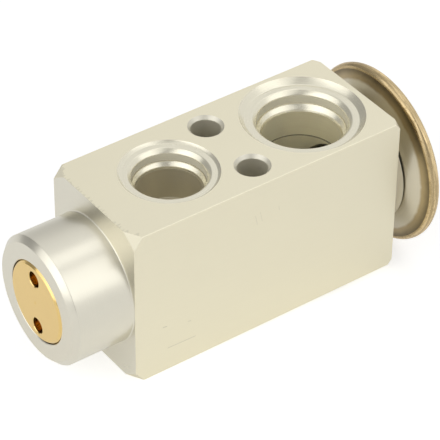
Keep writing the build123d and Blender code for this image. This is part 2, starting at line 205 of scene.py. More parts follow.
class HeadSizes(bpy.types.PropertyGroup):
    sheet: length("Sheet", "Thickness of both pressed covers", 1.1)
    neck_radius: length("Neck radius", "Tubular neck inside the block", 11.0)
    shoulder_radius: length("Shoulder radius", "Flat shoulder on the gasket", 13.6)
    cone_rise: length("Cone rise", "From the shoulder to the foot of the lip", 1.8)
    lip_width: length("Lip width", "Flat lip under the weld", 2.0)
    lip_rise: length("Lip rise", "How far the lip leans outwards", 0.5)
    clamp_width: length("Clamping width", "Lip's clamping face", 1.65)
    bend_round: length("Bend rounding", "Rounding of the pressed bends", 0.45)
    dome_foot: length("Dome foot radius", "Where the dome leaves its lip", 17.2)
    dome_bend: length("Dome bend radius", "Where the dome turns over", 12.9)
    dome_bend_rise: length("Dome bend rise", "Height of that bend over the lip", 1.95)
    dome_flat: length("Dome flat radius", "Flat top of the dome", 5.0)
    fill_hole: length("Fill hole radius", "Hole for the charge", 1.3)
    weld_ripple: length("Weld ripple", "Height of the weld's ripples", 0.02)
    plug_side: length("Charge plug side", "Straight side of the charge plug", 0.63)


class Finishes(bpy.types.PropertyGroup):
    satin: tint("Satin aluminium", "Outer faces of the bar", 0.875, 0.825, 0.645)
    turned: tint("Turned aluminium", "What the lathe has cut", 0.77, 0.74, 0.63)
    port: tint("Port seats", "Seats of the four ports", 0.86, 0.82, 0.67)
    # Painted shade: darker than the turned aluminium, standing for the shade in the deep bores.
    bored: tint("Bored aluminium", "Deep bores, dulled by oil", 0.66, 0.61, 0.47)
    # Painted light: lighter than the turned aluminium, standing for light deep in the suction bore.
    through: tint("Suction bore", "Bore between the suction ports", 0.96, 0.85, 0.64)
    # Painted shade: this dark colour stands for the shade deep inside the drilled passages.
    passage: tint("Dark passages", "Drilled passages deep inside", 0.2, 0.18, 0.13)
    brass: tint("Brass", "Adjusting plug", 0.855, 0.62, 0.25)
    steel: tint("Pressed steel", "Covers of the power head", 0.67, 0.62, 0.495)
    tarnish: tint("Heat tint", "Brown ring beside the weld", 0.38, 0.305, 0.185)
    weld: tint("Weld", "Weld bead round the rim", 0.68, 0.53, 0.30)
    # Also used as painted shade on the weld bead's side towards the block.
    bronze: tint("Bronze flecks", "Darker flecks along the weld", 0.44, 0.33, 0.17)
    bare_steel: tint("Bare steel", "Ground and rolled steel pieces", 0.62, 0.62, 0.63)
    rubber: tint("Seal rubber", "Seals and gasket", 0.02, 0.02, 0.021)
    resin: tint("Resin", "Sleeve on the sensing rod", 0.03, 0.03, 0.033)


class StageSettings(bpy.types.PropertyGroup):
    ambient: number("Ambient light", "Even light from all round", 0.35)
    left_lamp: number("Left softbox", "Brightness of the left one", 0.85)
    right_lamp: number("Right softbox", "Brightness of the right one", 0.55)
    top_lamp: number("Top softbox", "Brightness of the small one overhead", 0.6)
    surround: number("Surround", "Studio as polished metal sees it", 0.9)
    floor_glow: number("Floor glow", "What the camera adds to the lit floor", 0.6)
    lens: length("Lens", "Focal length on a 36 mm sensor", 208.14)
    distance: length("Camera distance", "From the aim point", 522.8)
    azimuth: angle("Camera azimuth", "0 looks along +Y", -36.294)
    elevation: angle("Camera elevation", "Above the horizon", 38.683)
    roll: angle("Camera roll", "About the view axis", 0.639)


class ValveSettings(bpy.types.PropertyGroup):
    block: PointerProperty(type=BlockSizes)
    plug: PointerProperty(type=PlugSizes)
    head: PointerProperty(type=HeadSizes)
    finishes: PointerProperty(type=Finishes)
    stage: PointerProperty(type=StageSettings)


# ---- shader expressions


class Value:
    """A number socket. Arithmetic on it adds Math nodes."""

    def __init__(self, shader, socket):
        self.shader = shader
        self.socket = socket

    def clamped(self):
        """Kept between 0 and 1."""
        return self.shader.maths("MAXIMUM", self.shader.maths("MINIMUM", self, 1.0), 0.0)

    def ramp(self, start, end, low=0.0, high=1.0):
        """Smooth step from low at start to high at end."""
        sockets = {"Value": self, "From Min": start, "From Max": end, "To Min": low, "To Max": high}
        node = self.shader.node("MapRange", {"interpolation_type": "SMOOTHSTEP"}, sockets)
        return Value(self.shader, node.outputs[0])


def arithmetic(operation, flipped):
    """Operator method of a Value that adds a Math node."""

    def method(self, other):
        operands = (other, self) if flipped else (self, other)
        return self.shader.maths(operation, *operands)

    return method


OPERATIONS = {"add": "ADD", "sub": "SUBTRACT", "mul": "MULTIPLY", "truediv": "DIVIDE", "pow": "POWER"}
for operator, operation in OPERATIONS.items():
    setattr(Value, f"__{operator}__", arithmetic(operation, False))
    setattr(Value, f"__r{operator}__", arithmetic(operation, True))


class Shader:
    """Builds one node tree."""

    def __init__(self, owner):
        owner.use_nodes = True
        self.owner = owner
        self.tree = owner.node_tree
        self.tree.nodes.clear()

    def node(self, kind, settings=None, sockets=None):
        """Shader node of a kind, with its settings and the values or links of its sockets."""
        node = self.tree.nodes.new(f"ShaderNode{kind}")
        for key, setting in (settings or {}).items():
            setattr(node, key, setting)
        for key, value in (sockets or {}).items():
            if isinstance(value, Value):
                self.tree.links.new(value.socket, node.inputs[key])
            elif isinstance(value, bpy.types.NodeSocket):
                self.tree.links.new(value, node.inputs[key])
            else:
                node.inputs[key].default_value = value
        return node

    def maths(self, operation, *operands):
        """Math node on numbers."""
        node = self.node("Math", {"operation": operation}, dict(enumerate(operands)))
        return Value(self, node.outputs[0])

    def position(self):
        """Object coordinates as three numbers, in millimetres."""
        coordinates = self.node("TexCoord")
        split = self.node("SeparateXYZ", sockets={0: coordinates.outputs["Object"]})
        return [Value(self, output) / MM for output in split.outputs]

    def noise(self, place, scales, detail=2.0, roughness=0.5):
        """Noise of 0 to 1 at a place of three numbers, each with its own scale."""
        scaled = {i: part * scale for i, (part, scale) in enumerate(zip(place, scales))}
        vector = self.node("CombineXYZ", sockets=scaled).outputs[0]
        sockets = {"Vector": vector, "Scale": 1.0, "Detail": detail, "Roughness": roughness}
        return Value(self, self.node("TexNoise", sockets=sockets).outputs[0])

    def mix(self, factor, first, second):
        """Mix of two colours."""
        settings = {"data_type": "RGBA", "clamp_factor": True}
        return self.node("Mix", settings, {0: factor, 6: first, 7: second}).outputs[2]

    def shades(self, factor, colour, low, high):
        """Mix of two shades of a colour."""
        return self.mix(factor, rgba(colour, low), rgba(colour, high))

    def bump(self, height, depth):
        """Normal of a height of 0 to 1 that stands for a depth in millimetres."""
        return self.node("Bump", sockets={"Distance": depth * MM, "Height": height}).outputs[0]

    def surface(self, colour, roughness, normal, metallic=1.0):
        """Principled surface, joined to the output."""
        sockets = {"Base Color": colour, "Roughness": roughness, "Metallic": metallic, "Normal": normal}
        principled = self.node("BsdfPrincipled", sockets=sockets)
        self.node("OutputMaterial", sockets={"Surface": principled.outputs[0]})

    def rays(self):
        """Masks of the rays from the camera and of those that metal reflects."""
        path = self.node("LightPath")
        kinds = ("Camera", "Transmission", "Glossy")
        camera, transmission, glossy = (Value(self, path.outputs[f"Is {kind} Ray"]) for kind in kinds)
        return camera + transmission, glossy


def rgba(colour, gain=1.0):
    """Colour property as four numbers, lighter or darker by gain."""
    return (*(min(channel * gain, 1.0) for channel in colour), 1.0)


def material(name):
    """New named material and its shader builder."""
    return Shader(bpy.data.materials.new(name))


def from_axis(y, z):
    """Distance from the valve axis, in millimetres."""
    height = z - AXIS_Z / MM
    return (y * y + height * height) ** 0.5


# ---- finishes

# handling marks on the front face as (x, z, x, z, half width, strength), in millimetres
MARKS = [
    (-25.1, -31.3, -18.3, -31.5, 0.10, 1.0),
    (-26.2, -25.3, -25.3, -25.45, 0.14, 1.0),
    (-20.1, -26.7, -19.4, -26.9, 0.12, 0.8),
    (-3.7, -7.3, -3.2, -9.6, 0.16, 0.35),
    (-2.5, -6.9, -2.0, -9.2, 0.16, 0.3),
    (2.1, -7.4, 2.3, -8.4, 0.14, 0.35),
]


def handling_marks(shader, x, y, z):
    """Mask of the scratches and nicks on the front face."""
    half_block = BLOCK_WIDTH / MM / 2
    total = 0.0
    for x0, z0, x1, z1, half_width, strength in MARKS:
        run, drop = x1 - x0, z1 - z0
        share = (((x - x0) * run + (z - z0) * drop) / (run * run + drop * drop)).clamped()
        off_x, off_z = x - x0 - share * run, z - z0 - share * drop
        distance = (off_x * off_x + off_z * off_z) ** 0.5
        total = distance.ramp(half_width, 0.2 * half_width) * strength + total
    return total * (0 - y).ramp(half_block - 0.2, half_block - 0.1)


def cutter_chatter(shader, x, y, z, sizes):
    """Mask of the cutter's teeth along the edge between the port faces and the spigot's end."""
    radius = from_axis(y, z)
    cone_depth = shader.maths("MAXIMUM", radius - sizes.cone_radius / MM, 0.0)
    behind_edge = x + sizes.length / 2 / MM - cone_depth
    tooth = shader.noise((y, z, 0.0), (1.6, 1.6, 1.0), detail=0.0).ramp(0.4, 0.6)
    uneven = shader.noise((y, z, 0.0), (0.9, 0.9, 1.0), detail=1.0)
    reach = tooth * uneven.ramp(0.35, 0.7, 0.2, 1.3)
    half_block = BLOCK_WIDTH / MM / 2
    on_port_faces = shader.maths("ABSOLUTE", y).ramp(half_block - 0.2, half_block - 0.3)
    return (reach - behind_edge).ramp(0.0, 0.15) * on_port_faces


def satin_aluminium(colours, sizes):
    """Outer faces of the bar: drawing lines, scratches, nicks and the cutter's teeth."""
    shader = material("satin_aluminium")
    x, y, z = place = shader.position()
    grain = shader.noise(place, (6.0, 6.0, 6.0), detail=4.0)
    lines = shader.noise(place, (0.05, 2.2, 2.2), detail=3.0, roughness=0.6)
    cloud = shader.noise(place, (0.09, 0.09, 0.09))
    shade = (cloud - 0.5) * 0.3 + (lines - 0.5) * 0.25 + 0.5
    marks = handling_marks(shader, x, y, z) + 0.45 * cutter_chatter(shader, x, y, z, sizes)
    colour = shader.shades(shade, colours.satin, 0.965, 1.035)
    colour = shader.mix(marks * 0.5, colour, rgba(colours.satin, 0.5))
    height = grain * 0.6 + lines * 0.4 - marks * 3.0
    shader.surface(colour, 0.4 + 0.1 * grain, shader.bump(height, 0.012))
    return shader.owner


def turned_metal(name, colour, axis, roughness=0.3, dullness=0.0, contrast=0.05, ring_depth=0.006):
    """Lathe-cut metal: fine rings about an axis of the valve. Dullness is how much of it is matt."""
    shader = material(name)
    place = shader.position()
    along, across = axis.split(place)
    radius = (across[0] * across[0] + across[1] * across[1]) ** 0.5
    rings = shader.noise((radius, along, 0.0), (3.0, 3.0, 1.0), detail=5.0, roughness=0.65)
    smear = shader.noise(place, (0.25, 0.25, 0.25))
    tone = shader.shades(rings * 0.6 + smear * 0.4, colour, 1 - contrast, 1 + contrast)
    rough = roughness + 0.1 * (rings - 0.5) + 0.08 * (smear - 0.5)
    shader.surface(tone, rough, shader.bump(rings, ring_depth), metallic=1 - dullness)
    return shader.owner


def grained(name, colour, roughness, scale, shades, depth, metallic):
    """Finish with an even grain between two shades of a colour."""
    shader = material(name)
    grain = shader.noise(shader.position(), (scale, scale, scale), detail=3.0)
    tone = shader.shades(grain, colour, *shades)
    shader.surface(tone, roughness + 0.1 * (grain - 0.5), shader.bump(grain, depth), metallic)
    return shader.owner


def plain_metal(name, colour, roughness):
    """Rolled, drawn or ground metal with a fine grain."""
    return grained(name, colour, roughness, 4.0, (0.93, 1.05), 0.004, 1.0)


def moulded(name, colour, roughness):
    """Rubber or resin with a slight cloudiness."""
    return grained(name, colour, roughness, 1.5, (0.85, 1.2), 0.01, 0.0)


def tinted_steel(colours, head):
    """Pressed cover: pale steel on the cone, browned towards the weld."""
    shader = material("pressed_steel")
    x, y, z = shader.position()
    radius = from_axis(y, z)
    rings = shader.noise((radius, x, 0.0), (2.0, 2.0, 1.0), detail=4.0)
    spoke = shader.noise((x, y, z), (0.3, 0.5, 0.5), detail=3.0)
    lip = (UPPER_HIGH[1] - head.lip_width) / MM
    edge = UPPER_HIGH[1] / MM
    wandering = radius + (spoke - 0.5) * 0.6
    brown = wandering.ramp(lip - 0.45, lip + 0.25)
    darker = wandering.ramp(lip + 0.3, edge - 0.1)
    steel = shader.shades(rings, colours.steel, 0.93, 1.06)
    tint = shader.shades(darker, colours.tarnish, 1.25, 0.6)
    tone = shader.mix(brown, steel, tint)
    shader.surface(tone, 0.34 + 0.08 * (rings - 0.5), shader.bump(rings, 0.008))
    return shader.owner


def weld_metal(colours):
    """Weld bead: straw and bronze streaks along the rim, with painted shade on its side towards the block.
    """
    shader = material("rim_weld_metal")
    x, y, z = shader.position()
    radius = from_axis(y, z)
    streak = shader.noise((x, radius, y + z), (2.5, 2.5, 0.12), detail=3.0)
    fleck = shader.noise((x, y, z), (3.0, 1.2, 1.2), detail=4.0)
    straw = shader.shades(streak.ramp(0.35, 0.65), colours.weld, 0.7, 1.3)
    crest = (0.45 * RIM_LOW[0] + 0.55 * RIM_HIGH[0]) / MM
    # Painted shade: more bronze on the bead's side that faces the block.
    block_side_shade = x.ramp(RIM_LOW[0] / MM, crest, 0.4, 0.0)
    bronze = (fleck.ramp(0.5, 0.72) * 0.6 + block_side_shade).clamped()
    tone = shader.mix(bronze, straw, rgba(colours.bronze))
    shader.surface(tone, 0.2 + 0.14 * fleck, shader.bump(streak * 0.7 + fleck * 0.3, 0.015))
    return shader.owner


# ---- mesh tools

TurningAxis = namedtuple("TurningAxis", "centre direction outward across")


class TurningLine(TurningAxis):
    """A line that pieces are turned about."""

    def point(self, along, radius):
        return self.centre + self.direction * along + self.outward * radius

    def split(self, position):
        """Position sockets, in millimetres, as one along the line and two across it from its centre."""
        along = position[max(range(3), key=lambda i: self.direction[i])]
        offsets = [position[i] - self.centre[i] / MM for i in self.across]
        return along, offsets


VALVE_LINE = TurningLine(Vector((0, 0, AXIS_Z)), Vector((1, 0, 0)), Vector((0, 0, 1)), (1, 2))


def upright_line(x, y=0.0):
    """Vertical line through a point of the port face."""
    return TurningLine(Vector((x, y, 0)), Vector((0, 0, 1)), Vector((1, 0, 0)), (0, 1))


def round_off(bm, geometry, width, segments, affect):
    """Rounds edges or corners of a bmesh."""
    settings = {"offset_type": "OFFSET", "profile": 0.5, "material": -1}
    bmesh.ops.bevel(bm, geom=geometry, offset=width, segments=segments, affect=affect, **settings)


def turned_mesh(line, corners, closed=False, steps=STEPS):
    """Skin turned about a line from (along, radius, rounding) corners."""
    bm = bmesh.new()
    verts = [bm.verts.new(line.point(along, radius)) for along, radius, _ in corners]
    pairs = list(zip(verts, verts[1:]))
    if closed:
        pairs.append((verts[-1], verts[0]))
    for pair in pairs:
        bm.edges.new(pair)
    for vert, (_, _, rounding) in zip(verts, corners):
        if rounding > 0:
            round_off(bm, [vert], rounding, ROUND_SEGMENTS, "VERTICES")
    bmesh.ops.spin(
        bm,
        geom=bm.verts[:] + bm.edges[:],
        cent=line.centre,
        axis=line.direction,
        angle=math.tau,
        steps=steps,
        use_merge=True,
    )
    bmesh.ops.remove_doubles(bm, verts=bm.verts, dist=MERGE)
    bmesh.ops.recalc_face_normals(bm, faces=bm.faces)
    return bm


def scratch_object(bm, name):
    """Object of a finished bmesh, for a cut or as a piece."""
    mesh = bpy.data.meshes.new(name)
    bm.to_mesh(mesh)
    bm.free()
    made = bpy.data.objects.new(name, mesh)
    bpy.context.scene.collection.objects.link(made)
    return made


def combine(target, tools, operation):
    """Cuts the tools from the target, or keeps what they share, and removes the tools."""
    for tool in tools:
        modifier = target.modifiers.new(operation, "BOOLEAN")
        modifier.operation = operation
        modifier.solver = "EXACT"
        modifier.object = tool
    shaped = target.evaluated_get(bpy.context.evaluated_depsgraph_get())
    mesh = bpy.data.meshes.new_from_object(shaped)
    target.modifiers.clear()
    target.data = mesh
    for tool in tools:
        bpy.data.objects.remove(tool)


# least part of a unit normal on a flat face, and the sharpest angle that is shaded smooth
FLAT = 0.99999
CREASE = math.radians(28.0)


def shade(mesh):
    """Smooth shading with sharp creases and with flat faces kept flat."""
    bm = bmesh.new()
    bm.from_mesh(mesh)
    bmesh.ops.remove_doubles(bm, verts=bm.verts, dist=MERGE)
    bmesh.ops.dissolve_degenerate(bm, edges=bm.edges, dist=MERGE)
    for face in bm.faces:
        face.smooth = True
    for edge in bm.edges:
        if len(edge.link_faces) != 2:
            continue
        one, other = edge.link_faces
        flats = [max(abs(part) for part in face.normal) > FLAT for face in (one, other)]
        edge.smooth = edge.calc_face_angle(0.0) < CREASE and flats[0] == flats[1]
    bm.to_mesh(mesh)
    bm.free()


def piece(made, node, body, finishes, finish_of=None):
    """Makes an object a finished piece, with its finishes, body, slot and CAD node."""
    mesh = made.data
    mesh.materials.clear()
    for finish in finishes:
        mesh.materials.append(finish)
    shade(mesh)
    for polygon in mesh.polygons:
        polygon.material_index = finish_of(polygon) if finish_of else 0
    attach(made, body)
    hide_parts(node)


# ---- block


def turned_stock(sizes):
    """What the lathe leaves of the bar: spigot, end cones and boss."""
    end = sizes.length / 2
    crest = sizes.cone_radius + sizes.cone_run
    head_crest = sizes.head_cone_radius + sizes.head_cone_run
    edge = sizes.turned_break
    corners = [
        (SPIGOT_FACE, 0, 0),
        (SPIGOT_FACE, sizes.spigot_radius - sizes.spigot_chamfer, edge),
        (SPIGOT_FACE + sizes.spigot_chamfer, sizes.spigot_radius, edge),
        (-end, sizes.spigot_radius, sizes.base_fillet),
        (-end, sizes.cone_radius, edge),
        (-end + sizes.cone_run, crest, 0),
        (end - sizes.head_cone_run, head_crest, 0),
        (end, sizes.head_cone_radius, edge),
        (end, sizes.boss_radius, sizes.base_fillet),
        (BOSS_FACE, sizes.boss_radius, edge),
        (BOSS_FACE, 0, 0),
    ]
    return scratch_object(turned_mesh(VALVE_LINE, corners), "turned_stock")


def bar(sizes):
    """Extruded bar with its four long edges rounded."""
    bm = bmesh.new()
    middle = Matrix.Translation(((SPIGOT_FACE + BOSS_FACE) / 2, 0, AXIS_Z))
    shape = Matrix.Diagonal((BOSS_FACE - SPIGOT_FACE + 2 * MM, BLOCK_WIDTH, -FLOOR_FACE, 1))
    bmesh.ops.create_cube(bm, size=1.0, matrix=middle @ shape)
    ridges = [edge for edge in bm.edges if abs(edge.verts[0].co.x - edge.verts[1].co.x) > BLOCK_WIDTH]
    round_off(bm, ridges, sizes.edge_round, EDGE_SEGMENTS, "EDGES")
    return scratch_object(bm, "bar")


def seat_corners(seat, pilot, sizes):
    """Corners of a port's seat from its mouth inwards, as (depth, radius, rounding)."""
    mouth = pilot + seat[0][0] * MM
    corners = [(-OVERSHOOT, 0, 0), (-OVERSHOOT, mouth + sizes.port_break, 0)]
    corners += [(0, mouth + sizes.port_break, 0), (sizes.port_break, mouth, 0)]
    corners += [(depth * MM, pilot + width * MM, rounding * MM) for width, depth, rounding in seat[1:]]
    return corners


def from_top(corners):
    return [(-depth, radius, rounding) for depth, radius, rounding in corners]


def from_bottom(corners):
    return [(FLOOR_FACE + depth, radius, rounding) for depth, radius, rounding in corners]


def port_cutters(sizes):
    """Cutters of the four ports: the liquid ports end blind, the suction ports meet."""
    line = upright_line(LIQUID_X)
    seat = seat_corners(LIQUID_SEAT, LIQUID_PILOT, sizes)
    seat += [(sizes.pilot_depth, LIQUID_PILOT, 0.3 * MM), (sizes.pilot_depth, 0, 0)]
    cutters = [turned_mesh(line, from_top(seat)), turned_mesh(line, from_bottom(seat))]
    seat = seat_corners(SUCTION_SEAT, SUCTION_PILOT, sizes)
    seat += [(sizes.suction_depth, radius, 0.1 * MM) for radius in (SUCTION_PILOT, sizes.suction_bore)]
    through = from_top(seat) + from_bottom(seat)[::-1]
    cutters.append(turned_mesh(upright_line(SUCTION_X), through))
    return cutters


def bolt_cutters(sizes):
    """Cutters of the two bolt holes, countersunk at both faces."""
    sink = BOLT_RADIUS + sizes.bolt_sink
    half = [(-OVERSHOOT, 0, 0), (-OVERSHOOT, sink, 0), (0, sink, 0)]
    half.append((sizes.bolt_sink_depth, BOLT_RADIUS, 0.08 * MM))
    profile = from_top(half) + from_bottom(half)[::-1]
    return [turned_mesh(upright_line(0, side * BOLT_Y), profile, steps=BOLT_STEPS) for side in (-1, 1)]


def axial_cutters(sizes, plug):
    """Cutters along the valve axis: plug bore, chamber and orifice, then the head's passage."""
    thread_bore = PLUG_HIGH[1] + plug.bore_clearance
    mouth = thread_bore + plug.hole_break
    profile = [
        (SPIGOT_FACE - OVERSHOOT, 0, 0),
        (SPIGOT_FACE - OVERSHOOT, mouth, 0),
        (SPIGOT_FACE, mouth, 0),
        (SPIGOT_FACE + plug.hole_break, thread_bore, 0),
    ]
    radius = thread_bore
    for start, bore in VALVE_BORES:
        profile += [(start * MM, radius, 0), (start * MM, bore * MM, 0)]
        radius = bore * MM
    profile += [(SUCTION_X, radius, 0), (SUCTION_X, 0, 0)]
    neck_floor, outside = LOWER_LOW[0] - NECK_FLOOR_GAP, BOSS_FACE + OVERSHOOT
    head_side = [
        (SUCTION_X, 0, 0),
        (SUCTION_X, sizes.head_passage, 0),
        (neck_floor, sizes.head_passage, 0.2 * MM),
        (neck_floor, NECK_BORE, 0),
        (outside, NECK_BORE, 0),
        (outside, 0, 0),
    ]
    return [turned_mesh(VALVE_LINE, corners, steps=BORE_STEPS) for corners in (profile, head_side)]


def flow_cutters(sizes):
    """Drilled holes from the floor of each liquid port to just past the valve axis."""
    cutters = []
    for (offset, radius), side in ((INLET, 1), (OUTLET, -1)):
        line = upright_line(LIQUID_X + offset * MM)
        start = AXIS_Z + side * (DRILL_OVERLAP - AXIS_Z - sizes.pilot_depth)
        end = AXIS_Z - side * DRILL_OVERLAP
        radius *= MM
        corners = [(start, 0, 0), (start, radius, 0), (end, radius, 0), (end, 0, 0)]
        cutters.append(turned_mesh(line, corners, steps=SMALL_STEPS))
    return cutters


# the block's finishes, in slot order
SATIN, TURNED, LIQUID_PORT, SUCTION_PORT, DRILLED, BORE_SHADE, CONE, SHADED_PASSAGE, SEAT_WALL, LIT_THROUGH_BORE = range(10)
# distances, and parts of a unit normal, that tell its faces apart
SKIN = 0.31 * MM
PORT_MARGIN = 0.2 * MM
BOLT_MARGIN = 1.0 * MM
STEP_BAND = 0.12 * MM
AXIAL_SPACE = 11.2 * MM
AXIAL_MARGIN = 0.5 * MM
CONE_INNER = 15.0 * MM
ALONG_WALL = 0.2
ALONG_SKIN = 0.1
FACING_END = 0.98


def port_finish(polygon):
    """Finish of a face inside a port, or None."""
    x, y, z = polygon.center
    depth = min(-z, z - FLOOR_FACE)
    liquid = (LIQUID_X, LIQUID_PILOT, LIQUID_SEAT, LIQUID_PORT, BORE_SHADE)
    suction = (SUCTION_X, SUCTION_PILOT, SUCTION_SEAT, SUCTION_PORT, LIT_THROUGH_BORE)
    for port_x, pilot, seat, seat_finish, bore_shade_and_light in (liquid, suction):
        if math.hypot(x - port_x, y) < pilot + seat[0][0] * MM + PORT_MARGIN:
            # Painted shade: a thin dark ring where the suction bores step.
            if abs(depth - SUCTION_STEP * MM) < STEP_BAND:
                return SHADED_PASSAGE
            # Below the seat: painted shade in the liquid port's bore, painted light in the suction bore.
            if depth > seat[-1][1] * MM:
                return bore_shade_and_light
            return SEAT_WALL if abs(polygon.normal.z) < ALONG_WALL else seat_finish
    return None


def block_finish(polygon):
    """Finish of a face of the block."""
    x, y, z = polygon.center
    normal = polygon.normal
    on_side = abs(y) > BLOCK_WIDTH / 2 - SKIN
    on_face = z > -SKIN or z < FLOOR_FACE + SKIN
    flat_side = abs(normal.y) > FLAT and on_side
    flat_face = abs(normal.z) > FLAT and on_face
    if flat_side or flat_face or (on_side and on_face and abs(normal.x) < ALONG_SKIN):
        return SATIN
    in_port = port_finish(polygon)
    if in_port is not None:
        return in_port
    if math.hypot(x, abs(y) - BOLT_Y) < BOLT_RADIUS + BOLT_MARGIN:
        return DRILLED
    radius = math.hypot(y, z - AXIS_Z)
    within = SPIGOT_FACE + AXIAL_MARGIN < x < BOSS_FACE - AXIAL_MARGIN
    # Painted shade: the bores along the valve axis take the dark passage colour.
    if radius < AXIAL_SPACE and within:
        return SHADED_PASSAGE
    if radius > CONE_INNER and abs(normal.x) < FACING_END:
        return CONE
    return TURNED


class VALVE_OT_block(bpy.types.Operator):
    """Builds the aluminium block: extruded bar, turned ends, ports, passages and bolt holes."""

    bl_idname = "valve.block"
    bl_label = "Block"

    def execute(self, context):
        settings = context.scene.valve
        sizes, colours = settings.block, settings.finishes
        body = turned_stock(sizes)
        body.name = "block_body"
        combine(body, [bar(sizes)], "INTERSECT")
        cutters = port_cutters(sizes) + bolt_cutters(sizes)
        cutters += axial_cutters(sizes, settings.plug) + flow_cutters(sizes)
        combine(body, [scratch_object(bm, "cutter") for bm in cutters], "DIFFERENCE")
        liquid_line, suction_line = upright_line(LIQUID_X), upright_line(SUCTION_X)
        finishes = [
            satin_aluminium(colours, sizes),
            turned_metal("turned_aluminium", colours.turned, VALVE_LINE),
            turned_metal("liquid_port_aluminium", colours.port, liquid_line, 0.25, 0.22),
            turned_metal("suction_port_aluminium", colours.port, suction_line, 0.25, 0.22),
            turned_metal("drilled_aluminium", colours.turned, upright_line(0), 0.45, 0.3),
            turned_metal("bored_aluminium", colours.bored, liquid_line, 0.4, 0.4),
            turned_metal("cone_aluminium", colours.satin, VALVE_LINE, 0.5, 0.5),
            plain_metal("passage_aluminium", colours.passage, 0.5),
            turned_metal("seat_wall_aluminium", colours.port, suction_line, 0.4, 0.85),
            turned_metal("through_bore_aluminium", colours.through, suction_line, 0.4, 0.6, 0.16),
        ]
        piece(body, "valve_body", "block", finishes, block_finish)
        return {"FINISHED"}


# ---- adjusting plug


class VALVE_OT_adjusting_plug(bpy.types.Operator):
    """Builds the brass adjusting plug, with its spanner holes, seal groove and spring socket."""

    bl_idname = "valve.adjusting_plug"
    bl_label = "Adjusting plug"

    def execute(self, context):
        settings = context.scene.valve
        sizes = settings.plug
        face, end, radius = PLUG_LOW[0], PLUG_HIGH[0], PLUG_HIGH[1]
        nose = radius - sizes.nose_step
        groove_end = end - sizes.groove_wall
        groove_start = groove_end - sizes.groove_width
        groove_floor = nose - sizes.groove_depth
        thread_end, socket = face + sizes.thread_length, end - sizes.socket_depth
        edge = PLUG_EDGE
        corners = [
            (face + sizes.mark_depth, 0, 0),
            (face, sizes.mark_radius, 0),
            (face, radius - sizes.rim_chamfer, edge),
            (face + sizes.rim_chamfer, radius, edge),
            (thread_end, radius, edge),
            (thread_end, nose, 0),
            (groove_start, nose, edge),
            (groove_start, groove_floor, 0),
            (groove_end, groove_floor, 0),
            (groove_end, nose, edge),
            (end, nose, edge),
            (end, sizes.socket_radius, edge),
            (socket, sizes.socket_radius, 0),
            (socket, 0, 0),
        ]
        plug = scratch_object(turned_mesh(VALVE_LINE, corners, steps=BORE_STEPS), "brass_adjusting_plug")
        combine(plug, [self.spanner_hole(sizes, face, side) for side in (-1, 1)], "DIFFERENCE")
        colour = settings.finishes.brass
        brass = turned_metal("plug_brass", colour, VALVE_LINE, roughness=0.16, ring_depth=0.004)
        piece(plug, "adjusting_plug", "plug", [brass])
        return {"FINISHED"}

    @staticmethod
    def spanner_hole(sizes, face, side):
        """Cutter of one spanner hole, chamfered at its mouth."""
        offset = Vector((0, 0, side * sizes.hole_spacing / 2))
        centre = VALVE_LINE.centre + Matrix.Rotation(-sizes.hole_turn, 3, "X") @ offset
        line = TurningLine(centre, VALVE_LINE.direction, VALVE_LINE.outward, VALVE_LINE.across)
        start, floor = face - OVERSHOOT, face + sizes.hole_depth
        mouth = sizes.hole_radius + sizes.hole_break
        corners = [
            (start, 0, 0),
            (start, mouth, 0),
            (face, mouth, 0),
            (face + sizes.hole_break, sizes.hole_radius, 0),
            (floor, sizes.hole_radius, 0),
            (floor, 0, 0),
        ]
        return scratch_object(turned_mesh(line, corners, steps=HOLE_STEPS), "spanner_hole")


# ---- power head


def ring_piece(name, corners, node, finish):
    """Closed ring turned about the valve axis, as a finished piece."""
    made = scratch_object(turned_mesh(VALVE_LINE, corners, closed=True), name)
    piece(made, node, "block", [finish])


# roundings of the dome
DOME_TURN = 1.9 * MM
DOME_CROWN = 2.0 * MM
# points across the weld bead, steps round it and ripples round it
BEAD_POINTS = 12
BEAD_STEPS = 360
WIDE_RIPPLES = 41
FINE_RIPPLES = 97


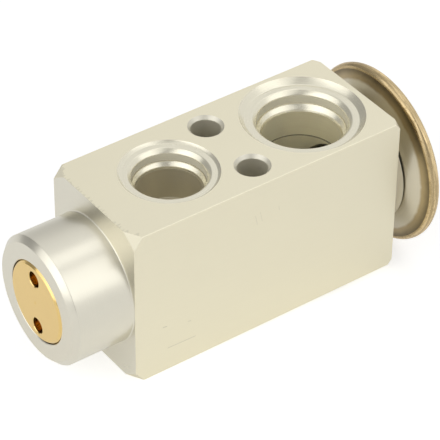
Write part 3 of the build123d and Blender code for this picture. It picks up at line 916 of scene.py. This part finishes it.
class VALVE_OT_power_head(bpy.types.Operator):
    """Builds the power head: both pressed covers, the rim's weld, the gasket and the charge plug."""

    bl_idname = "valve.power_head"
    bl_label = "Power head"

    def execute(self, context):
        settings = context.scene.valve
        sizes, colours = settings.head, settings.finishes
        steel = tinted_steel(colours, sizes)
        self.lower_cover(sizes, steel)
        self.upper_cover(sizes, steel)
        self.rim(sizes, weld_metal(colours))
        self.gasket(moulded("gasket_rubber", colours.rubber, 0.6))
        self.charge_plug(sizes, plain_metal("charge_plug_steel", colours.bare_steel, 0.25))
        return {"FINISHED"}

    @staticmethod
    def lower_cover(sizes, steel):
        shoulder, clamp, lip_radius = GASKET_HIGH[0], LOWER_HIGH[0], LOWER_HIGH[1]
        cone_end = lip_radius - sizes.lip_width
        floor = shoulder + sizes.sheet
        slope = (cone_end - sizes.shoulder_radius) / sizes.cone_rise
        seat = lip_radius - sizes.clamp_width
        inner_neck = sizes.neck_radius - sizes.sheet
        bend = sizes.bend_round
        corners = [
            (LOWER_LOW[0], inner_neck, 0.1 * MM),
            (LOWER_LOW[0], sizes.neck_radius, 0.1 * MM),
            (shoulder, sizes.neck_radius, 0.2 * MM),
            (shoulder, sizes.shoulder_radius, bend),
            (shoulder + sizes.cone_rise, cone_end, bend),
            (shoulder + sizes.cone_rise + sizes.lip_rise, lip_radius, 0.0),
            (clamp, lip_radius, 0.0),
            (clamp, seat, 0.0),
            (floor, seat - slope * (clamp - floor), bend),
            (floor, inner_neck, bend),
        ]
        ring_piece("lower_cover_pressing", corners, "lower_cover", steel)

    @staticmethod
    def upper_cover(sizes, steel):
        clamp, top, lip_radius = UPPER_LOW[0], UPPER_HIGH[0], UPPER_HIGH[1]
        lip_top = clamp + sizes.sheet
        inner_foot = sizes.dome_foot - sizes.sheet / 2
        drop = sizes.dome_foot - sizes.dome_bend
        corners = [
            (clamp, inner_foot, 0.2 * MM),
            (clamp, lip_radius, 0.0),
            (lip_top, lip_radius, 0.0),
            (lip_top, sizes.dome_foot, 0.5 * MM),
            (lip_top + sizes.dome_bend_rise, sizes.dome_bend, DOME_TURN),
            (top, sizes.dome_flat, DOME_CROWN),
            (top, sizes.fill_hole, 0.0),
            (top - sizes.sheet, sizes.fill_hole, 0.0),
            (top - sizes.sheet, sizes.dome_flat, DOME_CROWN),
            (clamp + sizes.dome_bend_rise, inner_foot - drop, DOME_TURN),
        ]
        ring_piece("upper_cover_pressing", corners, "upper_cover", steel)

    @staticmethod
    def rim(sizes, weld):
        low, high = RIM_LOW[0], RIM_HIGH[0]
        lip_radius, crest = LOWER_HIGH[1], RIM_HIGH[1]
        half = (high - low) / 2
        rise = crest - lip_radius
        arc_radius = (half * half + rise * rise) / (2 * rise)
        span = math.asin(half / arc_radius)
        corners = []
        for point in range(BEAD_POINTS + 1):
            lean = span * (2 * point / BEAD_POINTS - 1)
            drop = arc_radius * (1 - math.cos(lean))
            corners.append((low + half + arc_radius * math.sin(lean), crest - drop, 0))
        bm = turned_mesh(VALVE_LINE, corners, closed=True, steps=BEAD_STEPS)
        for vert in bm.verts:
            height = vert.co.z - AXIS_Z
            turn, radius = math.atan2(vert.co.y, height), math.hypot(vert.co.y, height)
            depth = (radius - lip_radius) / rise
            wide = math.sin(WIDE_RIPPLES * turn + 2 * math.sin(5 * turn))
            wave = 0.5 + 0.3 * wide + 0.2 * math.sin(FINE_RIPPLES * turn + 1.3)
            scale = 1 - sizes.weld_ripple * depth * (1 - wave) / radius
            vert.co.y *= scale
            vert.co.z = AXIS_Z + height * scale
        piece(scratch_object(bm, "rim_weld_bead"), "rim_weld", "block", [weld])

    @staticmethod
    def gasket(rubber):
        corners = [
            (GASKET_LOW[0], GASKET_INNER, 0.05 * MM),
            (GASKET_HIGH[0], GASKET_INNER, 0.05 * MM),
            (GASKET_HIGH[0], GASKET_HIGH[1], 0.15 * MM),
            (GASKET_LOW[0], GASKET_HIGH[1], 0.15 * MM),
        ]
        ring_piece("head_gasket_ring", corners, "head_gasket", rubber)

    @staticmethod
    def charge_plug(sizes, steel):
        top = UPPER_HIGH[0]
        stem = sizes.fill_hole - 0.02 * MM
        corners = [
            (CHARGE_LOW[0], 0, 0),
            (CHARGE_LOW[0], stem, 0.1 * MM),
            (top, stem, 0),
            (top, CHARGE_HIGH[1], 0),
            (top + sizes.plug_side, CHARGE_HIGH[1], 0.5 * MM),
            (CHARGE_HIGH[0], 0.4 * CHARGE_HIGH[1], 0.8 * MM),
            (CHARGE_HIGH[0], 0, 0),
        ]
        made = scratch_object(turned_mesh(VALVE_LINE, corners, steps=SMALL_STEPS), "charge_plug_head")
        piece(made, "charge_plug", "block", [steel])


# ---- inner pieces

FINISH_OF_SLOT = {
    "spring_steel": ("drawn_steel", "bare_steel", 0.35),
    "polished_steel": ("ground_steel", "bare_steel", 0.18),
    "rod_aluminium": ("rod_aluminium", "turned", 0.25),
    "head_steel": ("diaphragm_steel", "steel", 0.25),
}


class VALVE_OT_inner_pieces(bpy.types.Operator):
    """Finishes the pieces inside: rods, ball, carrier, springs, seals, stop plate and diaphragm."""

    bl_idname = "valve.inner_pieces"
    bl_label = "Inner pieces"

    def execute(self, context):
        colours = context.scene.valve.finishes
        metals = {
            slot: plain_metal(name, getattr(colours, colour), roughness)
            for slot, (name, colour, roughness) in FINISH_OF_SLOT.items()
        }
        metals["seal_rubber"] = moulded("seal_ring_rubber", colours.rubber, 0.5)
        metals["sleeve_resin"] = moulded("sleeve_resin", colours.resin, 0.45)
        for part in frame["record"]["subparts"]:
            node = frame["nodes"][part["node"]]
            finish = metals.get(part["material_slot"])
            if finish is None or node.hide_render:
                continue
            for place in node.material_slots:
                place.material = finish
        self.superheat_coil(metals["spring_steel"])
        return {"FINISHED"}

    @staticmethod
    def superheat_coil(steel):
        """The superheat spring, copied from its CAD mesh."""
        coil = bpy.data.objects.new("superheat_coil", frame["nodes"]["superheat_spring"].data.copy())
        bpy.context.scene.collection.objects.link(coil)
        piece(coil, "superheat_spring", "block", [steel])
        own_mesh(coil)


# ---- stage


def towards(azimuth, elevation):
    """Unit vector from the valve towards a compass direction, where 0 is +Y and 90 is +X."""
    a, e = math.radians(azimuth), math.radians(elevation)
    return Vector((math.sin(a) * math.cos(e), math.cos(a) * math.cos(e), math.sin(e)))


# softboxes as (name, azimuth, elevation, width, height, distance), in degrees and metres
SOFTBOXES = [
    ("left_softbox", -92.0, 33.0, 1.44, 0.82, 0.9),
    ("right_softbox", 156.0, 44.0, 0.86, 0.8, 0.9),
    ("top_softbox", 86.0, 66.0, 0.34, 0.5, 0.9),
]
# dim sides of the studio as (azimuth, elevation, inner angle, outer angle, darkening)
DIM_SIDES = [
    (-28.0, 8.0, 20.0, 65.0, 0.62),
    (-144.0, 18.0, 15.0, 40.0, 0.5),
    (-158.0, 52.0, 8.0, 28.0, 0.5),
    (120.0, 56.0, 3.0, 15.0, 0.4),
]
WHITE = (1.0, 1.0, 1.0, 1.0)
FLOOR_SIZE = 4.0
# point that the camera looks at, in millimetres
AIM = Vector((-1.88, 0.19, -18.5))
SENSOR_WIDTH = 36.0
# what polished metal adds to the lit floor that it reflects
FLOOR_IN_METAL = 0.39


class VALVE_OT_stage(bpy.types.Operator):
    """Sets the pale floor, the white surroundings, three softboxes and the camera."""

    bl_idname = "valve.stage"
    bl_label = "Stage"

    def execute(self, context):
        settings = context.scene.valve.stage
        context.scene.view_settings.view_transform = "Standard"
        self.floor(settings)
        self.world(context.scene, settings)
        strengths = (settings.left_lamp, settings.right_lamp, settings.top_lamp)
        for softbox, strength in zip(SOFTBOXES, strengths):
            self.lamp(*softbox, strength)
        self.camera(context.scene, settings)
        return {"FINISHED"}

    @staticmethod
    def floor(settings):
        """The valve rests on its rim and the block's end edge, so the floor leans by a degree."""
        block_end = -bpy.context.scene.valve.block.length / 2
        rim_x = (RIM_LOW[0] + RIM_HIGH[0]) / 2
        lean = math.atan2(RIM_LOW[2] - FLOOR_FACE, rim_x - block_end)
        bm = bmesh.new()
        place = Matrix.Translation((block_end, 0, FLOOR_FACE)) @ Matrix.Rotation(-lean, 4, "Y")
        bmesh.ops.create_grid(bm, x_segments=1, y_segments=1, size=FLOOR_SIZE, matrix=place)
        ground = scratch_object(bm, "studio_floor")
        shader = material("floor_white")
        seen, glossy = shader.rays()
        strength = seen * settings.floor_glow + glossy * FLOOR_IN_METAL
        matt = shader.node("BsdfDiffuse", sockets={"Color": (0.8, 0.8, 0.8, 1.0)})
        glow = shader.node("Emission", sockets={"Color": WHITE, "Strength": strength})
        both = shader.node("AddShader", sockets={0: matt.outputs[0], 1: glow.outputs[0]})
        shader.node("OutputMaterial", sockets={"Surface": both.outputs[0]})
        ground.data.materials.append(shader.owner)

    @staticmethod
    def world(scene, settings):
        world = bpy.data.worlds.new("studio")
        scene.world = world
        shader = Shader(world)
        seen, glossy = shader.rays()
        direction = shader.node("TexCoord").outputs["Generated"]
        surround = settings.surround
        for azimuth, elevation, inner, outer, darkening in DIM_SIDES:
            sockets = {0: direction, 1: towards(azimuth, elevation)}
            facing = shader.node("VectorMath", {"operation": "DOT_PRODUCT"}, sockets)
            near = Value(shader, facing.outputs["Value"])
            mask = near.ramp(math.cos(math.radians(outer)), math.cos(math.radians(inner)))
            surround = surround * (1 - darkening * mask)
        strength = seen + glossy * surround + (1 - seen - glossy) * settings.ambient
        back = shader.node("Background", sockets={"Color": WHITE, "Strength": strength})
        shader.node("OutputWorld", sockets={"Surface": back.outputs[0]})

    @staticmethod
    def facing(data, centre, way, distance, roll=0.0):
        """Object of a lamp or camera that faces a centre from a distance."""
        made = bpy.data.objects.new(data.name, data)
        made.location = centre + way * distance
        made.rotation_mode = "QUATERNION"
        made.rotation_quaternion = way.to_track_quat("Z", "Y") @ Quaternion((0, 0, 1), roll)
        bpy.context.scene.collection.objects.link(made)
        return made

    def lamp(self, name, azimuth, elevation, width, height, distance, radiance):
        light = bpy.data.lights.new(name, "AREA")
        light.shape = "RECTANGLE"
        light.size, light.size_y = width, height
        light.energy = radiance * math.pi * width * height
        made = self.facing(light, VALVE_LINE.centre, towards(azimuth, elevation), distance)
        made.visible_camera = False

    def camera(self, scene, settings):
        view = bpy.data.cameras.new("studio_camera")
        view.sensor_width = SENSOR_WIDTH
        view.lens = settings.lens / MM
        view.clip_start = 0.01
        view.clip_end = 20.0
        way = towards(180 - math.degrees(settings.azimuth), math.degrees(settings.elevation))
        scene.camera = self.facing(view, AIM * MM, way, settings.distance, settings.roll)


# ---- sidebar and registration


class VALVE_PT_panel(bpy.types.Panel):
    """Sidebar panel with one button for each group of pieces."""

    bl_idname = "VALVE_PT_panel"
    bl_label = "Expansion valve"
    bl_space_type = "VIEW_3D"
    bl_region_type = "UI"
    bl_category = "Valve"

    def draw(self, context):
        for operator in OPERATORS:
            self.layout.operator(operator.bl_idname)
        settings = context.scene.valve
        for group in (settings.block, settings.plug, settings.head, settings.finishes, settings.stage):
            box = self.layout.box()
            for name in group.__annotations__:
                box.prop(group, name)


BUILDERS = (VALVE_OT_block, VALVE_OT_adjusting_plug, VALVE_OT_power_head, VALVE_OT_inner_pieces)
OPERATORS = (*BUILDERS, VALVE_OT_stage)
GROUPS = (BlockSizes, PlugSizes, HeadSizes, Finishes, StageSettings, ValveSettings)
CLASSES = (*GROUPS, *OPERATORS, VALVE_PT_panel)


def register():
    for each in CLASSES:
        bpy.utils.register_class(each)
    bpy.types.Scene.valve = PointerProperty(type=ValveSettings)


def unregister():
    del bpy.types.Scene.valve
    for each in reversed(CLASSES):
        bpy.utils.unregister_class(each)


def main():
    register()
    bpy.ops.valve.block()
    bpy.ops.valve.adjusting_plug()
    bpy.ops.valve.power_head()
    bpy.ops.valve.inner_pieces()
    bpy.ops.valve.stage()


if __name__ == "__main__":
    main()
